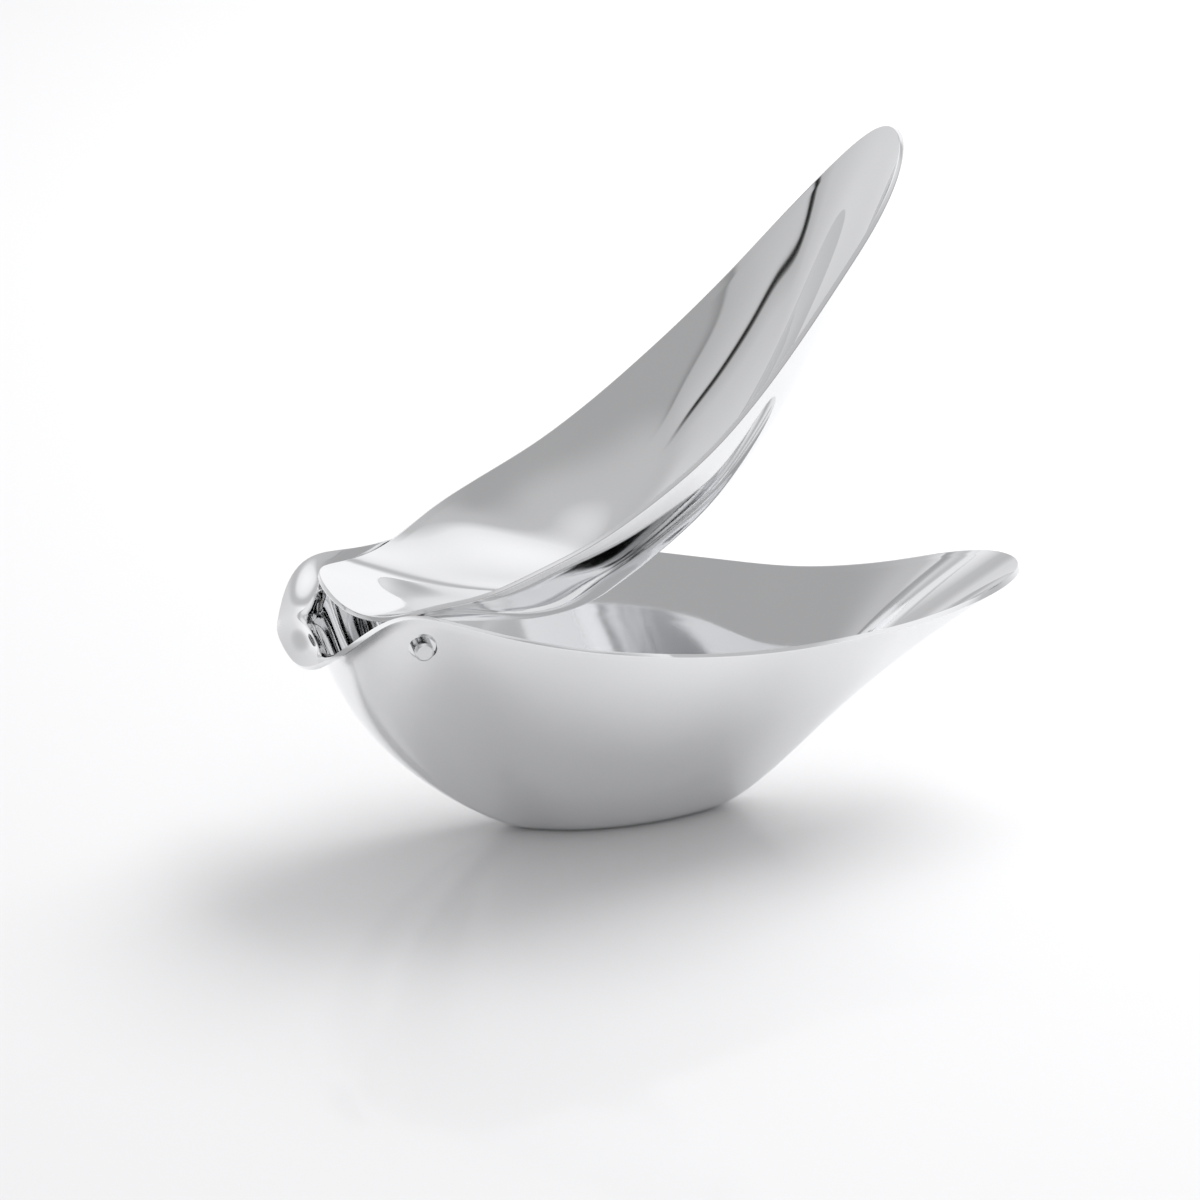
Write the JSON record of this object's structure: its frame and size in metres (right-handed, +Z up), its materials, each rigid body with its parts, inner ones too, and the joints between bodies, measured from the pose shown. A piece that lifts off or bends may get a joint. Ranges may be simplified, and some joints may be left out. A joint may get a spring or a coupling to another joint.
{
  "type": "citrus press juicer",
  "caption": "Hand citrus press: a boat-shaped steel bowl with a pouring lip and flat base, and a long pressing leaf hinged inside it on a cross pin.",
  "frame": {"origin": "middle of the flat base that the press stands on", "axes": "+X along the press towards the thumb tips, away from the pouring lip; +Y across it; +Z up"},
  "size_m": [0.1623, 0.0586, 0.1511],
  "materials": {
    "polished_steel": "mirror polished stainless steel sheet",
    "pin_steel": "turned stainless steel, satin",
    "weld_steel": "cleaned weld, dull"
  },
  "bodies": {
    "bowl": {"bowl_leaf": "polished_steel"},
    "press": {"pressing_leaf": "polished_steel", "hinge_pin": "pin_steel", "pin_welds": "weld_steel"}
  },
  "joints": [
    {"name": "leaf_hinge", "type": "hinge", "parent": "bowl", "child": "press", "pos_m": [-0.044, 0, 0.0535], "axis": [0, -1, 0], "range_deg": [-34, 3]}
  ]
}
